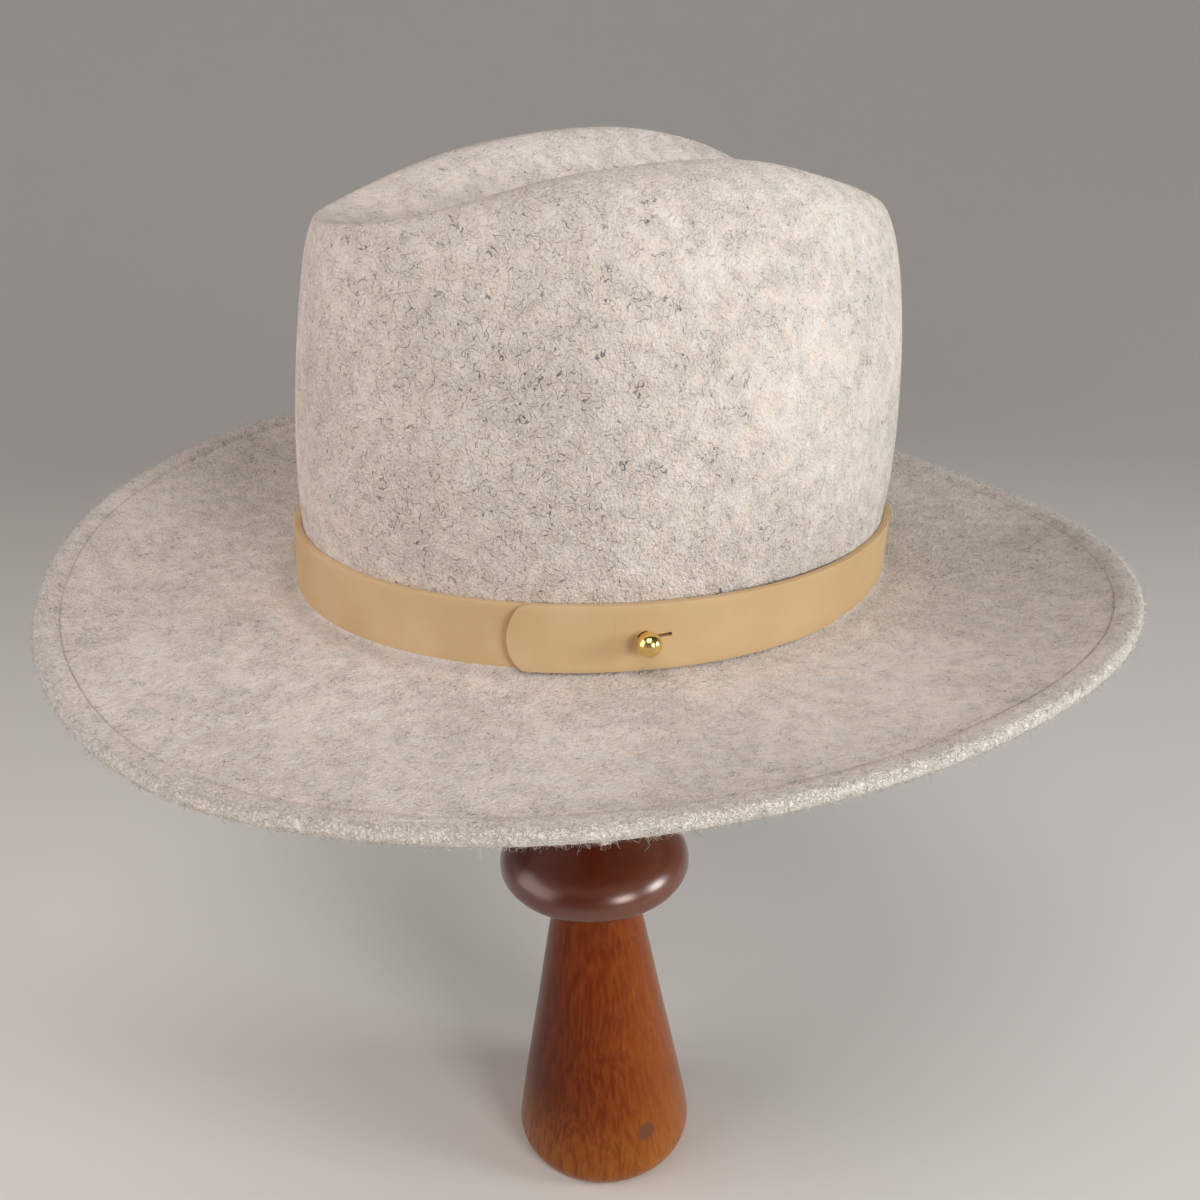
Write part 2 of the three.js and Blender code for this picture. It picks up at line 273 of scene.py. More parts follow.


# Wool felt is a mat of crimped fibres with no weave. Cream wool is mixed with a little grey and
# black, so the eye sees pale clouds crossed by short dark hairs, a dull nap, and a soft pale rim
# whose paleness is partly painted light.
def hair_strokes(material, places, spacing, width, reach, shift):
    """Scattered short lines about spacing apart, each cut from a thin disc at a random tilt."""
    cells = add_node(
        material,
        "VectorMath",
        {0: places, 1: (1 / spacing,) * 3, 2: (shift, shift * 0.7, shift * 1.3)},
        operation="MULTIPLY_ADD",
    ).outputs[0]
    spots = add_node(material, "TexVoronoi", {"Vector": cells, "Scale": 1.0})
    from_spot = add_node(
        material, "VectorMath", {0: cells, 1: spots.outputs["Position"]}, operation="SUBTRACT"
    ).outputs[0]
    tilt = add_node(
        material, "VectorMath", {0: spots.outputs["Color"], 1: (0.5,) * 3}, operation="SUBTRACT"
    ).outputs[0]
    tilt = add_node(material, "VectorMath", {0: tilt}, operation="NORMALIZE").outputs[0]
    off = add_node(
        material, "VectorMath", {0: from_spot, 1: tilt}, operation="DOT_PRODUCT"
    ).outputs["Value"]
    off = add_node(material, "Math", {0: off}, operation="ABSOLUTE").outputs[0]
    line = add_node(
        material,
        "MapRange",
        {"Value": off, "From Min": 0.2 * width / spacing, "From Max": width / spacing,
         "To Min": 1.0, "To Max": 0.0},
        interpolation_type="SMOOTHSTEP",
    ).outputs[0]
    ends = add_node(
        material,
        "MapRange",
        {"Value": spots.outputs["Distance"], "From Min": reach * 0.7, "From Max": reach,
         "To Min": 1.0, "To Max": 0.0},
    ).outputs[0]
    line = add_node(material, "Math", {0: line, 1: ends}, operation="MULTIPLY").outputs[0]
    strength = add_node(
        material, "SeparateColor", {"Color": spots.outputs["Color"]}
    ).outputs["Red"]
    return add_node(material, "Math", {0: line, 1: strength}, operation="MULTIPLY").outputs[0]


def blend(material, amount, first, second):
    """Mixes two colours, from first at 0 to second at 1."""
    return add_node(
        material, "Mix", {0: amount, 6: first, 7: second}, data_type="RGBA"
    ).outputs[2]


def spread(material, value, low, high, first=0.0, second=1.0):
    """Maps value from low..high to first..second, with soft ends."""
    return add_node(
        material,
        "MapRange",
        {"Value": value, "From Min": low, "From Max": high, "To Min": first, "To Max": second},
        interpolation_type="SMOOTHSTEP",
    ).outputs[0]


def cloud(material, places, size, detail=2.0, rough=0.5, distortion=0.0):
    """A noise whose lumps are about size across."""
    return add_node(
        material,
        "TexNoise",
        {"Vector": places, "Scale": 1 / size, "Detail": detail, "Roughness": rough,
         "Distortion": distortion},
    ).outputs


def times(material, *values):
    """The product of two or more numbers."""
    result = values[0]
    for value in values[1:]:
        result = add_node(material, "Math", {0: result, 1: value}, operation="MULTIPLY").outputs[0]
    return result


def plus(material, *values):
    """The sum of two or more numbers."""
    result = values[0]
    for value in values[1:]:
        result = add_node(material, "Math", {0: result, 1: value}, operation="ADD").outputs[0]
    return result


wool, wool_output = new_material("heathered_wool_felt")
place = add_node(wool, "TexCoord").outputs["Object"]
crimp = cloud(wool, place, 0.0042, detail=2.0)["Color"]
crimp = add_node(
    wool, "VectorMath", {0: crimp, 1: (0.5,) * 3}, operation="SUBTRACT"
).outputs[0]
crimped = add_node(
    wool, "VectorMath", {0: crimp, 1: (0.0052,) * 3, 2: place}, operation="MULTIPLY_ADD"
).outputs[0]

# Grey hairs, laid in five sizes: spacing, half width, shift and strength of each
grey_hairs = 0.0
for spacing, width, shift, share in (
    (0.0010, 0.00008, 3.1, 0.60),
    (0.0013, 0.00010, 11.7, 0.70),
    (0.0018, 0.00011, 23.9, 0.80),
    (0.0025, 0.00012, 37.3, 0.90),
    (0.0036, 0.00014, 41.9, 1.00),
):
    hairs = hair_strokes(wool, crimped, spacing, width, 0.8, shift)
    grey_hairs = plus(wool, grey_hairs, times(wool, hairs, share))
pale_hairs = plus(
    wool,
    hair_strokes(wool, crimped, 0.0012, 0.00010, 0.8, 51.3),
    hair_strokes(wool, crimped, 0.0018, 0.00012, 0.8, 67.7),
)

# Tangled hair too fine to draw one by one: the folds of a noise
tangle = cloud(wool, crimped, 0.0010, detail=2.0, rough=0.6, distortion=0.4)["Fac"]
tangle = add_node(wool, "Math", {0: tangle, 1: 0.5}, operation="SUBTRACT").outputs[0]
tangle = add_node(wool, "Math", {0: tangle}, operation="ABSOLUTE").outputs[0]
tangle = spread(wool, tangle, 0.0, 0.07, 1.0, 0.0)

# Clouds of grey wool, where the grey hairs lie thickest. Three large patches add grey hairs and
# painted shade: on the crown's front left, at the back left above the brim, and on the brim's front
# right.
wide_cloud = cloud(wool, place, 0.034, detail=2.0, rough=0.5)["Fac"]
tuft_cloud = cloud(wool, place, 0.0056, detail=2.5, rough=0.6)["Fac"]
grey_and_shade_patch = 0.0
for middle, radius, share in (
    ((0.058, -0.070, 0.345), 0.085, 1.0),
    ((0.085, 0.105, 0.275), 0.080, 0.8),
    ((-0.139, -0.063, 0.275), 0.080, 0.6),
):
    gap = add_node(wool, "VectorMath", {0: place, 1: middle}, operation="DISTANCE").outputs["Value"]
    grey_and_shade_patch = plus(wool, grey_and_shade_patch, spread(wool, gap, 0.01, radius, share, 0.0))
greyness = plus(
    wool,
    times(wool, wide_cloud, 0.4),
    times(wool, tuft_cloud, 0.6),
    times(wool, grey_and_shade_patch, 0.06),
)
greyness = spread(wool, greyness, 0.32, 0.72)
tuft = spread(wool, cloud(wool, place, 0.0062, detail=2.0)["Fac"], 0.62, 0.80)
warmth = cloud(wool, place, 0.006, detail=3.0, rough=0.7)["Fac"]

cream = blend(wool, spread(wool, warmth, 0.38, 0.62), linear("#f5ede6"), linear("#f8e9de"))
shade = blend(wool, times(wool, greyness, 0.42), cream, linear("#b3aaa2"))
shade = blend(wool, times(wool, tuft, 0.26), shade, linear("#a5a09c"))
# Painted shade: the three large patches are darkened
shade = blend(wool, times(wool, grey_and_shade_patch, 0.22), shade, linear("#8b847d"))
shade = blend(
    wool,
    times(wool, tangle, spread(wool, greyness, 0.0, 1.0, 0.08, 0.38)),
    shade,
    linear("#a0978f"),
)
shade = blend(wool, times(wool, pale_hairs, 0.35), shade, linear("#f7f1e8"))
grey_amount = spread(wool, greyness, 0.0, 1.0, 0.36, 0.85)
grey_amount = plus(wool, grey_amount, times(wool, grey_and_shade_patch, 0.35))
grey_amount = times(wool, grey_hairs, grey_amount)
grey_amount = add_node(wool, "Clamp", {"Value": grey_amount}).outputs[0]
shade = blend(wool, grey_amount, shade, linear("#6b6564"))

# The pressed groove is a thin line of painted shade, fainter in places. The folded edge outside it
# is brushed and painted paler, partly as brushed wool and partly as painted light on the rolled
# edge, with painted shade between its curls.
inset_mm = add_node(wool, "Attribute", attribute_name="edge_inset").outputs["Fac"]
groove_mm = groove_inset * 1000
from_groove = add_node(
    wool, "Math", {0: inset_mm, 1: groove_mm}, operation="SUBTRACT"
).outputs[0]
from_groove = add_node(wool, "Math", {0: from_groove}, operation="ABSOLUTE").outputs[0]
faint = spread(wool, cloud(wool, place, 0.05)["Fac"], 0.42, 0.60, 0.15, 1.0)
groove_shade = times(wool, spread(wool, from_groove, 0.10, 0.60, 1.0, 0.0), faint)
shade = blend(wool, times(wool, groove_shade, 0.25), shade, linear("#7d766f"))
# Painted shade: a darker band beside the strap's lower edge
contact_shade = add_node(wool, "Attribute", attribute_name="strap_contact_shade").outputs["Fac"]
shade = blend(wool, times(wool, contact_shade, 0.42), shade, linear("#8f857b"))
# The paler edge is partly brushed wool and partly painted light on the rolled edge
brushed_and_lit_edge = spread(wool, inset_mm, 0.5, 5.5, 1.0, 0.0)
shade = blend(wool, times(wool, brushed_and_lit_edge, 0.62), shade, linear("#faf4ec"))
# Painted shade in the gaps between the edge's curls
shade = blend(wool, times(wool, brushed_and_lit_edge, tangle, 0.22), shade, linear("#a39a92"))

# The nap: lumps of wool a millimetre or so across, and wider ones under the hand
lumps = cloud(wool, place, 0.0008, detail=2.0, rough=0.65)["Fac"]
pebbles = cloud(wool, place, 0.0022, detail=1.0)["Fac"]
relief = plus(
    wool,
    times(wool, lumps, 1.0),
    times(wool, pebbles, 0.8),
    times(wool, brushed_and_lit_edge, tangle, -0.25),
)
nap = add_node(
    wool, "Bump", {"Height": relief, "Strength": 1.0, "Distance": 0.0009}
).outputs[0]
finish_material(
    wool,
    wool_output,
    {
        "Base Color": shade,
        "Roughness": 0.95,
        "Specular IOR Level": 0.15,
        "Sheen Weight": 0.3,
        "Sheen Roughness": 0.55,
        "Sheen Tint": linear("#f7f0e6"),
        "Normal": nap,
    },
)
felt.data.materials.clear()
felt.data.materials.append(wool)
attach(felt, "root")
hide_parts("felt_body")


# Loose wool stands off the felt: short crimped hairs all over, and longer ones along the brim's
# brushed edge. Each hair is a closed thread of three sides, thicker than real wool's 0.03 mm so
# that it shows in the render.
def spots_on(mesh, chosen, count, random):
    """Points spread evenly over the chosen triangles, with the surface's way out at each."""
    mesh.calc_loop_triangles()
    corners = np.empty(len(mesh.loop_triangles) * 3, np.int64)
    mesh.loop_triangles.foreach_get("vertices", corners)
    places = points_of(mesh)[corners.reshape(-1, 3)]
    picked = chosen(in_hat(places.mean(1)))
    places = places[picked]
    out = np.cross(places[:, 1] - places[:, 0], places[:, 2] - places[:, 0])
    area = np.linalg.norm(out, axis=1)
    out /= np.maximum(area, 1e-15)[:, None]
    face = random.choice(len(places), count, p=area / area.sum())
    a, b = random.random((2, count, 1))
    a, b = np.where(a + b > 1, 1 - a, a), np.where(a + b > 1, 1 - b, b)
    corner = places[face]
    spot = corner[:, 0] + a * (corner[:, 1] - corner[:, 0]) + b * (corner[:, 2] - corner[:, 0])
    return spot, out[face]


def unit(vectors):
    """Each row at length 1."""
    return vectors / np.maximum(np.linalg.norm(vectors, axis=1), 1e-12)[:, None]


def wool_hairs(name, spots, out, length, lift, crimp, radius, dark_share, rings, random):
    """One mesh of crimped hairs. lift is how steeply each leaves the felt, from 0 to 1."""
    root_depth, least_height = 0.00015, 0.0001
    count = len(spots)
    heading = unit(np.cross(out, random.normal(size=(count, 3))))
    heading = unit(heading * (1 - lift)[:, None] + out * lift[:, None])
    axis = unit(random.normal(size=(count, 3)))
    step = (length / rings)[:, None]
    path = [spots - root_depth * out]
    for _ in range(rings):
        heading = unit(heading + crimp * np.cross(axis, heading))
        axis = unit(axis + 0.7 * random.normal(size=(count, 3)))
        point = path[-1] + heading * step
        height = ((point - spots) * out).sum(1)
        point = point + out * np.maximum(least_height - height, 0)[:, None]
        path.append(point)
    points = np.empty((count, rings * 3 + 1, 3))
    for i in range(rings):
        ahead = unit(path[i + 1] - path[max(i - 1, 0)])
        painted_light_side = unit(np.cross(ahead, out + 0.01 * axis))
        up = np.cross(painted_light_side, ahead)
        thick = radius * (1 - 0.12 * i)
        for k in range(3):
            turn = 2 * math.pi * k / 3
            points[:, i * 3 + k] = path[i] + thick * (math.cos(turn) * painted_light_side + math.sin(turn) * up)
    points[:, -1] = path[-1]
    faces = [(2, 1, 0)]
    for i in range(rings - 1):
        for k in range(3):
            a, b = i * 3 + k, i * 3 + (k + 1) % 3
            faces.append((a, b, b + 3, a + 3))
    last = (rings - 1) * 3
    faces += [(last + k, last + (k + 1) % 3, rings * 3) for k in range(3)]
    each = rings * 3 + 1
    mesh = bpy.data.meshes.new(name)
    every = [tuple(i + each * n for i in face) for n in range(count) for face in faces]
    mesh.from_pydata(points.reshape(-1, 3).tolist(), [], every)
    dark = random.random(count) < dark_share
    shade = np.where(dark, random.uniform(0, 0.4, count), random.uniform(0.7, 1, count))
    corners = np.empty(len(mesh.loops), np.int64)
    mesh.loops.foreach_get("vertex_index", corners)
    spot_uv = np.stack([shade[corners // each], (corners % each) / each], 1)
    layer = mesh.uv_layers.new(name="hair_shade")
    layer.uv.foreach_set("vector", spot_uv.ravel())
    mesh.shade_smooth()
    piece = bpy.data.objects.new(name, mesh)
    bpy.context.collection.objects.link(piece)
    return piece


# A wool hair is scaly and dull, cream or grey from end to end, and paler where light shines
# along it.
hair, hair_output = new_material("crimped_wool_hair")
hair_map = add_node(hair, "UVMap", uv_map="hair_shade").outputs[0]
hair_tone = add_node(hair, "SeparateXYZ", {0: hair_map}).outputs["X"]
hair_colour = blend(hair, hair_tone, linear("#635d58"), linear("#f3ebdf"))
finish_material(
    hair,
    hair_output,
    {
        "Base Color": hair_colour,
        "Roughness": 0.8,
        "Specular IOR Level": 0.2,
        "Sheen Weight": 0.4,
        "Sheen Roughness": 0.5,
    },
)

hair_floor = 0.0235


def on_crown(own):
    """The crown above the strap, with the dent."""
    return (crown_share(own) < 1.02) & (own[:, 2] > hair_floor)


def on_brim(own):
    """Both faces of the brim, clear of the strap."""
    return crown_share(own) > 1.1


def on_brim_edge(own):
    """The brushed edge, 5 mm wide."""
    return edge_distance(own) < 0.0050


def on_brim_rim(own):
    """The outermost 2.2 mm."""
    return edge_distance(own) < 0.0022


# Of each piece: where it grows, how many hairs, their mean length and lift, their crimp and
# radius, the share that is dark, and the rings of points along a hair
random = np.random.default_rng(11)
for name, chosen, count, mean_length, mean_lift, crimp, radius, dark_share, rings in (
    ("crown_nap", on_crown, 8600, 0.0016, 0.20, 0.60, 0.000036, 0.24, 4),
    ("brim_nap", on_brim, 8600, 0.0019, 0.14, 0.60, 0.000045, 0.52, 4),
    ("brim_edge_curls", on_brim_edge, 8600, 0.0018, 0.38, 0.9, 0.000055, 0.25, 4),
    ("brim_edge_fuzz", on_brim_rim, 5600, 0.0025, 0.42, 1.0, 0.000032, 0.35, 6),
):
    spots, out = spots_on(felt.data, chosen, count, random)
    length = mean_length * random.lognormal(0, 0.35, count)
    lift = np.clip(random.normal(mean_lift, 0.14, count), 0.02, 0.95)
    piece = wool_hairs(name, spots, out, length, lift, crimp, radius, dark_share, rings, random)
    piece.data.materials.append(hair)
    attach(piece, "root")


# The strap is one length of smooth vegetable-tanned leather, 20 mm wide, cut with square edges and
# a rounded tip. It goes once round the crown's foot and laps over its own start. It is modelled
# flat, then bent round the crown.
strap_height = 0.020
strap_thickness = 0.0022
strap_lift = 0.0006
strap_gap = 0.0003
lap_climb = 0.001
under_end = 105
tip_end = 360 + 134
lap_start, lap_settled = 360 + 58, 360 + 100
tip_length = 0.006


def oval(degrees, outset, height):
    """A point beside the crown's foot. Turns run from the back by the wearer's left."""
    turn = math.radians(degrees)
    across = (crown_half_width + outset) * math.sin(turn)
    along = (crown_half_length + outset) * math.cos(turn)
    return Vector((across, along, height))


def strap_middle(degrees):
    """The middle of the strap's thickness, at its lower edge."""
    share = min(max((degrees - lap_start) / (lap_settled - lap_start), 0), 1)
    lapped = share * share * (3 - 2 * share)
    outset = strap_gap + lapped * (strap_thickness + strap_gap) + strap_thickness / 2
    return oval(degrees, outset, strap_lift + lapped * lap_climb)


stations = [under_end + (tip_end - under_end) * i / 600 for i in range(601)]
route = [strap_middle(degrees) for degrees in stations]
strap_length = sum((b - a).length for a, b in zip(route, route[1:]))

bpy.ops.object.select_all(action="DESELECT")
bpy.ops.mesh.primitive_grid_add(
    x_subdivisions=260,
    y_subdivisions=10,
    size=1,
    location=(strap_length / 2, -strap_thickness / 2, strap_height / 2),
    rotation=(math.pi / 2, 0, 0),
)
strap = bpy.context.object
strap.name = "leather_strap"
strap.scale = (strap_length, strap_height, 1)
bpy.ops.object.transform_apply(location=True, rotation=True, scale=True)
# A tenth of the columns is drawn together at the tip, for its round outline
tip_share = 0.9
tip_zone = 1.2 * tip_length
body = strap_length - tip_zone
for vertex in strap.data.vertices:
    share = min(vertex.co.x / strap_length, 1.0)
    if share < tip_share:
        vertex.co.x = body * share / tip_share
    else:
        vertex.co.x = body + tip_zone * (1 - ((1 - share) / (1 - tip_share)) ** 1.6)
    left = 1 - min((strap_length - vertex.co.x) / tip_length, 1)
    half = math.sqrt(max(1 - left * left, 0.03))
    vertex.co.z = strap_height / 2 + (vertex.co.z - strap_height / 2) * half
wall = strap.modifiers.new("thickness", "SOLIDIFY")
wall.thickness = strap_thickness
wall.offset = -1
bpy.ops.object.modifier_apply(modifier=wall.name)
low = min(v.co.y for v in strap.data.vertices)
strap.data.transform(Matrix.Translation((0, -low - strap_thickness / 2, 0)))
for face in strap.data.polygons:
    if abs(face.normal.y) < 0.7:
        face.material_index = 1
soft_edge = strap.modifiers.new("soft_edge", "BEVEL")
soft_edge.width = 0.0003
soft_edge.segments = 2
soft_edge.limit_method = "ANGLE"
soft_edge.angle_limit = math.radians(50)
soft_edge.material = 1
strap.data.materials.clear()
strap.data.materials.append(None)
strap.data.materials.append(None)
bpy.ops.object.modifier_apply(modifier=soft_edge.name)

# The flat strap's own measures, in metres, are kept as its map before it is bent
flat_map = strap.data.uv_layers.new(name="along_strap")
corners = np.empty(len(strap.data.loops), np.int64)
strap.data.loops.foreach_get("vertex_index", corners)
flat = points_of(strap.data)[corners]
flat_map.uv.foreach_set("vector", flat[:, [0, 2]].ravel())

path = bpy.data.curves.new("strap_route", "CURVE")
path.dimensions = "3D"
path.twist_mode = "Z_UP"
spline = path.splines.new("POLY")
spline.points.add(len(route) - 1)
for point, where in zip(spline.points, route):
    point.co = (*where, 1)
strap_route = bpy.data.objects.new("strap_route", path)
bpy.context.collection.objects.link(strap_route)
pick(strap)
bend = strap.modifiers.new("bend", "CURVE")
bend.object = strap_route
bend.deform_axis = "POS_X"
bpy.ops.object.modifier_apply(modifier=bend.name)
bpy.data.objects.remove(strap_route)

# The keyhole: a round hole through both layers for the stud's neck, and a slit behind it in the
# outer layer, which lets the ball through
stud_turn = 112.5
stud_place = oval(stud_turn, 0, strap_lift + lap_climb + strap_height / 2)
to_front = Vector(
    (
        crown_half_width * math.cos(math.radians(stud_turn)),
        -crown_half_length * math.sin(math.radians(stud_turn)),
        0,
    )
).normalized()
up = Vector((0, 0, 1))
outward = up.cross(to_front)
stud_seat = Matrix.Translation(stud_place) @ Matrix((to_front, outward, up)).transposed().to_4x4()
neck_radius = 0.0018
clearance = 0.00035
strap_outside = 2 * strap_gap + 2 * strap_thickness
slit_length, slit_width, slit_tilt = 0.008, 0.0011, 5

bpy.ops.object.select_all(action="DESELECT")
bpy.ops.mesh.primitive_cylinder_add(vertices=40, radius=neck_radius + clearance, depth=0.014)
hole = bpy.context.object
hole.matrix_world = stud_seat @ Matrix.Rotation(math.pi / 2, 4, "X")
bpy.ops.mesh.primitive_cube_add(size=1)
slit = bpy.context.object
overcut = 0.001
slit_depth = strap_thickness + strap_gap / 2 + overcut
middle = Vector((-slit_length / 2, strap_outside + overcut - slit_depth / 2, 0))
tilted = stud_seat @ Matrix.Rotation(math.radians(slit_tilt), 4, "Y")
slit.matrix_world = tilted @ Matrix.Translation(middle)
slit.matrix_world @= Matrix.Diagonal((slit_length, slit_depth, slit_width, 1))
pick(strap)
for tool in (hole, slit):
    cut = strap.modifiers.new("cut", "BOOLEAN")
    cut.operation = "DIFFERENCE"
    cut.object = tool
    bpy.ops.object.modifier_apply(modifier=cut.name)
    bpy.data.objects.remove(tool)
strap.data.transform(hat_seat)
bpy.ops.object.shade_smooth_by_angle(angle=math.radians(40))

# Vegetable-tanned calf: a tight grain that is almost smooth, a satin wax finish, faint clouds where
# the dye took unevenly, and a few short scuffs
leather, leather_output = new_material("vegetable_tanned_leather")
place = add_node(leather, "TexCoord").outputs["Object"]
clouds = cloud(leather, place, 0.03, detail=3.0)["Fac"]
mottle = cloud(leather, place, 0.0035, detail=3.0, rough=0.6)["Fac"]
tan = blend(leather, spread(leather, clouds, 0.35, 0.65), linear("#cbad83"), linear("#d2b68e"))
mottle_share = times(leather, spread(leather, mottle, 0.4, 0.7), 0.12)
tan = blend(leather, mottle_share, tan, linear("#cda372"))
scuffs = hair_strokes(leather, place, 0.011, 0.00014, 0.22, 5.3)
tan = blend(leather, times(leather, scuffs, 0.3), tan, linear("#9a7246"))

# Painted shade: the tan is made a little darker toward the back left
toward_back_left = add_node(
    leather, "VectorMath", {0: place, 1: (0.556, 0.831, 0)}, operation="DOT_PRODUCT"
).outputs["Value"]
tan = blend(leather, spread(leather, toward_back_left, 0.02, 0.075, 0.0, 0.35), tan, linear("#bd9963"))
pore_size = 0.0007
pores = add_node(
    leather, "TexVoronoi", {"Vector": place, "Scale": 1 / pore_size}
).outputs["Distance"]
grain = plus(
    leather,
    times(leather, pores, 0.5),
    times(leather, mottle, 0.8),
    times(leather, scuffs, -0.6),
)
grain_bump = add_node(
    leather, "Bump", {"Height": grain, "Strength": 0.16, "Distance": 0.0002}
).outputs[0]
finish_material(
    leather,
    leather_output,
    {
        "Base Color": tan,
        "Roughness": spread(leather, mottle, 0.3, 0.7, 0.58, 0.70),
        "Specular IOR Level": 0.12,
        "Sheen Weight": 0.05,
        "Normal": grain_bump,
    },
)

# The cut edge is raw fibre, paler than the grain and without its wax; its paleness is partly
# painted light on the rim
cut_edge, cut_output = new_material("raw_leather_edge")
place = add_node(cut_edge, "TexCoord").outputs["Object"]
fibre = cloud(cut_edge, place, 0.0006, detail=2.0)["Fac"]
raw_and_lit_edge = blend(cut_edge, spread(cut_edge, fibre, 0.3, 0.7), linear("#edd2a6"), linear("#fbe9c8"))
fibre_bump = add_node(
    cut_edge, "Bump", {"Height": fibre, "Strength": 0.4, "Distance": 0.0002}
).outputs[0]
finish_material(
    cut_edge,
    cut_output,
    {"Base Color": raw_and_lit_edge, "Roughness": 0.8, "Specular IOR Level": 0.2, "Normal": fibre_bump},
)
strap.data.materials[0] = leather
strap.data.materials[1] = cut_edge
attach(strap, "root")
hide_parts("leather_band")


# The stud is one turned brass piece: a flange behind the leather, a neck, and a polished ball that
# holds the strap's end.
ball_radius = 0.0036
flange_radius = 0.0042
flange_thickness = 0.0008
neck_out = strap_outside + 0.0012
ball_sink = math.sqrt(ball_radius**2 - neck_radius**2)

bpy.ops.object.select_all(action="DESELECT")
bpy.ops.mesh.primitive_uv_sphere_add(segments=64, ring_count=48, radius=ball_radius)
stud = bpy.context.object
stud.name = "brass_ball_stud"
bpy.ops.object.mode_set(mode="EDIT")
bpy.ops.mesh.select_all(action="SELECT")
bpy.ops.mesh.bisect(plane_co=(0, 0, -ball_sink), plane_no=(0, 0, 1), clear_inner=True)
bpy.ops.mesh.extrude_edges_move(
    TRANSFORM_OT_translate={"value": (0, 0, -(neck_out - strap_gap - flange_thickness))}
)
bpy.ops.mesh.extrude_edges_move()
wider = flange_radius / neck_radius
bpy.ops.transform.resize(value=(wider, wider, 1), center_override=(0, 0, 0))
bpy.ops.mesh.extrude_edges_move(TRANSFORM_OT_translate={"value": (0, 0, -flange_thickness)})
bpy.ops.mesh.edge_face_add()
bpy.ops.mesh.select_all(action="SELECT")
bpy.ops.mesh.normals_make_consistent(inside=False)
bpy.ops.object.mode_set(mode="OBJECT")
rim = stud.modifiers.new("rim", "BEVEL")
rim.width = 0.00015
rim.segments = 2
rim.limit_method = "ANGLE"
rim.angle_limit = math.radians(60)
bpy.ops.object.modifier_apply(modifier=rim.name)
ball_out = Matrix.Translation((0, neck_out + ball_sink, 0)) @ Matrix.Rotation(-math.pi / 2, 4, "X")
stud.data.transform(hat_seat @ stud_seat @ ball_out)
bpy.ops.object.shade_smooth_by_angle(angle=math.radians(35))

# Polished yellow brass: a near mirror, with hairline polishing marks and a faint warm haze
brass, brass_output = new_material("polished_brass")
place = add_node(brass, "TexCoord").outputs["Object"]
drawn_out = add_node(
    brass, "Mapping", {"Vector": place, "Scale": (1, 1, 7), "Rotation": (0.5, 0.3, 0)}
).outputs[0]
hairlines = cloud(brass, drawn_out, 0.0012, detail=3.0)["Fac"]
haze = cloud(brass, place, 0.0022, detail=1.0)["Fac"]
hairline_bump = add_node(
    brass, "Bump", {"Height": hairlines, "Strength": 0.04, "Distance": 0.0001}
).outputs[0]
finish_material(
    brass,
    brass_output,
    {
        "Base Color": blend(brass, haze, linear("#f0cb74"), linear("#fbe09a")),
        "Metallic": 1.0,
        "Roughness": spread(brass, hairlines, 0.3, 0.7, 0.14, 0.26),
        "Normal": hairline_bump,
    },
)
stud.data.materials.append(brass)
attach(stud, "root")
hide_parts("ball_stud")


# The stand is turned from one piece of hardwood: a tapered foot, a bead, and a plain post with a
# plain domed head inside the crown. It is stained red-brown and lacquered.
foot_radius, sole_radius, foot_round = 0.0356, 0.029, 0.009
foot_taper = ((14, 35), (40, 30.6), (70, 25.3), (100, 20.2), (114, 17.7))
neck_height, neck_waist = 0.124, 0.0158
bead_radius, bead_height, bead_below, bead_above = 0.0366, 0.1385, 0.010, 0.014
post_radius, post_foot = 0.011, 0.160
head_radius, head_edge, head_top = 0.032, 0.358, 0.3726
head_rim, head_taper = 0.006, 0.018
sole_ease = 0.0008

outline = [(0.0, 0.0), (sole_radius - sole_ease, 0.0), (sole_radius, 0.0001)]
for i in range(1, 13):
    turn = math.radians(90 * i / 12)
    outline.append(
        (
            sole_radius + (foot_radius - sole_radius) * math.sin(turn),
            foot_round * (1 - math.cos(turn)),
        )
    )

# One smooth sweep of the chisel goes through the marked radii, from the foot to the neck
marks = [(foot_radius, foot_round)]
marks += [(radius / 1000, height / 1000) for height, radius in foot_taper]
marks += [(neck_waist, neck_height)]
for i in range(1, len(marks) - 1):
    for share in (0.25, 0.5, 0.75, 1.0):
        p0, p1, p2 = (Vector(mark) for mark in marks[i - 1 : i + 2])
        p3 = Vector(marks[min(i + 2, len(marks) - 1)])
        point = 0.5 * (
            2 * p1
            + (p2 - p0) * share
            + (2 * p0 - 5 * p1 + 4 * p2 - p3) * share**2
            + (3 * p1 - p0 - 3 * p2 + p3) * share**3
        )
        outline.append(tuple(point))
neck_cove = [(0.0162, 0.1256), (0.0172, 0.1270), (0.0193, 0.1281), (0.0225, 0.1288)]
outline += neck_cove

# The bead is an arc of 120 degrees, and the post and the head follow it
for i in range(37):
    turn = math.radians(-60 + 120 * i / 36)
    depth = bead_below if turn < 0 else bead_above
    outline.append(
        (
            neck_waist + (bead_radius - neck_waist) * math.cos(turn),
            bead_height + depth * math.sin(turn),
        )
    )
outline += [(post_radius + 0.004, post_foot - 0.006), (post_radius + 0.001, post_foot - 0.001)]
outline += [(post_radius, post_foot + 0.002), (post_radius, head_edge - head_rim - head_taper)]
outline += [(head_radius, head_edge - head_rim), (head_radius, head_edge)]
for i in range(1, 13):
    left = 1 - i / 12
    outline.append((head_radius * left, head_edge + (head_top - head_edge) * (1 - left**2)))
outline[-1] = (0.0, head_top)

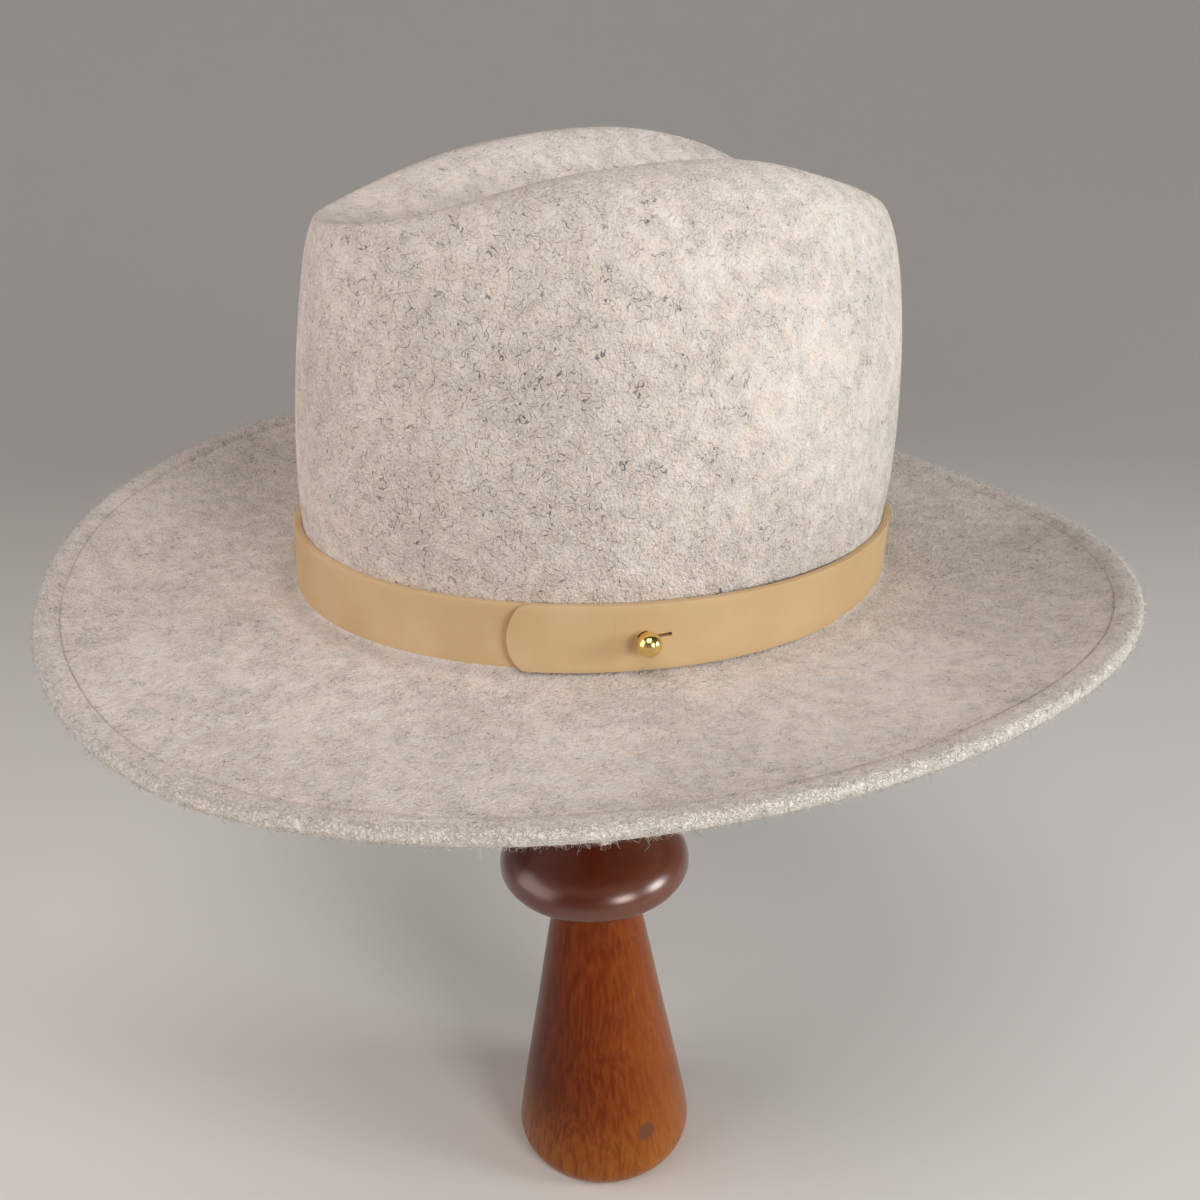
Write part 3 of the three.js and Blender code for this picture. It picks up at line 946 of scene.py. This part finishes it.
mesh = bpy.data.meshes.new("turned_stand")
mesh.from_pydata([(x, 0, z) for x, z in outline], [(i, i + 1) for i in range(len(outline) - 1)], [])
stand = bpy.data.objects.new("turned_stand", mesh)
bpy.context.collection.objects.link(stand)
pick(stand)
bpy.ops.object.mode_set(mode="EDIT")
bpy.ops.mesh.select_all(action="SELECT")
bpy.ops.mesh.spin(steps=128, angle=2 * math.pi, center=(0, 0, 0), axis=(0, 0, 1))
bpy.ops.mesh.select_all(action="SELECT")
bpy.ops.mesh.remove_doubles(threshold=0.00001)
bpy.ops.mesh.normals_make_consistent(inside=False)
bpy.ops.object.mode_set(mode="OBJECT")
bpy.ops.object.shade_smooth_by_angle(angle=math.radians(35))

# Stained hardwood under satin lacquer: the grain runs up the turning, dark streaks and fine pores
# show through the stain, the foot is paler sapwood, and one small knot sits low on the left side.
# The lacquer is thicker on the bead, which has the brightest highlight.
timber, timber_output = new_material("stained_lacquered_hardwood")
place = add_node(timber, "TexCoord").outputs["Object"]
knot_place = (0.0328, -0.0012, 0.0245)
to_knot = add_node(
    timber, "VectorMath", {0: place, 1: knot_place}, operation="DISTANCE"
).outputs["Value"]
knot = spread(timber, to_knot, 0.0026, 0.0052, 1.0, 0.0)
swirl = spread(timber, to_knot, 0.002, 0.014, 1.0, 0.0)
drift = cloud(timber, place, 0.05, detail=2.0)["Color"]
bent = add_node(
    timber, "VectorMath", {0: drift, 1: (0.010, 0.010, 0), 2: place}, operation="MULTIPLY_ADD"
).outputs[0]
from_pith = add_node(
    timber, "VectorMath", {0: bent, 1: (-0.045, 0.03, 0)}, operation="SUBTRACT"
).outputs[0]
from_pith = add_node(
    timber, "VectorMath", {0: from_pith, 1: (1, 1, 0)}, operation="MULTIPLY"
).outputs[0]
from_pith = add_node(timber, "VectorMath", {0: from_pith}, operation="LENGTH").outputs["Value"]
from_pith = plus(timber, from_pith, times(timber, swirl, 0.004))
rings = add_node(
    timber, "TexNoise", {"W": from_pith, "Scale": 1 / 0.0042, "Detail": 2.0}, noise_dimensions="1D"
).outputs["Fac"]
up_grain = add_node(timber, "Mapping", {"Vector": bent, "Scale": (1, 1, 0.05)}).outputs[0]
streaks = cloud(timber, up_grain, 0.0016, detail=3.0, rough=0.6)["Fac"]
tall = add_node(timber, "Mapping", {"Vector": place, "Scale": (1, 1, 0.25)}).outputs[0]
heart = cloud(timber, tall, 0.03, detail=2.0)["Fac"]
pore_grain = add_node(timber, "Mapping", {"Vector": bent, "Scale": (1, 1, 0.07)}).outputs[0]
pores = spread(timber, cloud(timber, pore_grain, 0.00045, detail=1.0)["Fac"], 0.60, 0.72)
stain = blend(timber, spread(timber, rings, 0.2, 0.8), linear("#662003"), linear("#7e3506"))
heart_share = times(timber, spread(timber, heart, 0.35, 0.65), 0.35)
stain = blend(timber, heart_share, stain, linear("#5e2410"))
streak_share = times(timber, spread(timber, streaks, 0.35, 0.7), 0.3)
stain = blend(timber, streak_share, stain, linear("#a8602a"))

# Painted shade and light: the stain is darker on the front right and on the bead, and paler on the
# back left
height = add_node(timber, "SeparateXYZ", {0: place}).outputs["Z"]
painted_light_side = add_node(
    timber, "VectorMath", {0: place, 1: (-0.66, -0.75, 0)}, operation="DOT_PRODUCT"
).outputs["Value"]
painted_light_side = plus(timber, painted_light_side, times(timber, heart, 0.012))
# Painted shade on the front right side
stain = blend(timber, spread(timber, painted_light_side, -0.004, 0.036, 0.0, 0.8), stain, linear("#3c1005"))
# Painted light on the back left side
stain = blend(timber, spread(timber, painted_light_side, -0.024, 0.004, 0.35, 0.0), stain, linear("#b8652a"))
# Painted shade on the bead, under the brim
stain = blend(timber, spread(timber, height, 0.118, 0.136, 0.0, 0.75), stain, linear("#4a1608"))
low_down = spread(timber, height, 0.004, 0.045, 1.0, 0.0)
sap = times(timber, low_down, spread(timber, streaks, 0.3, 0.6, 0.4, 1.0))
stain = blend(timber, times(timber, sap, 0.48), stain, linear("#b47230"))
stain = blend(timber, times(timber, pores, 0.3), stain, linear("#4a1c0e"))
stain = blend(timber, times(timber, knot, 0.7), stain, linear("#5c4436"))
grain_height = plus(timber, times(timber, pores, -1.0), times(timber, streaks, 0.3))
grain_bump = add_node(
    timber, "Bump", {"Height": grain_height, "Strength": 0.1, "Distance": 0.0002}
).outputs[0]
finish_material(
    timber,
    timber_output,
    {
        "Base Color": stain,
        "Roughness": 0.24,
        "Specular IOR Level": 0.32,
        "Specular Tint": linear("#ffb090"),
        "Coat Weight": spread(timber, height, 0.129, 0.138, 0.0, 0.8),
        "Coat Roughness": 0.28,
        "Coat IOR": 1.8,
        "Normal": grain_bump,
    },
)
stand.data.materials.append(timber)
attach(stand, "root")
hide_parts("wood_stand")
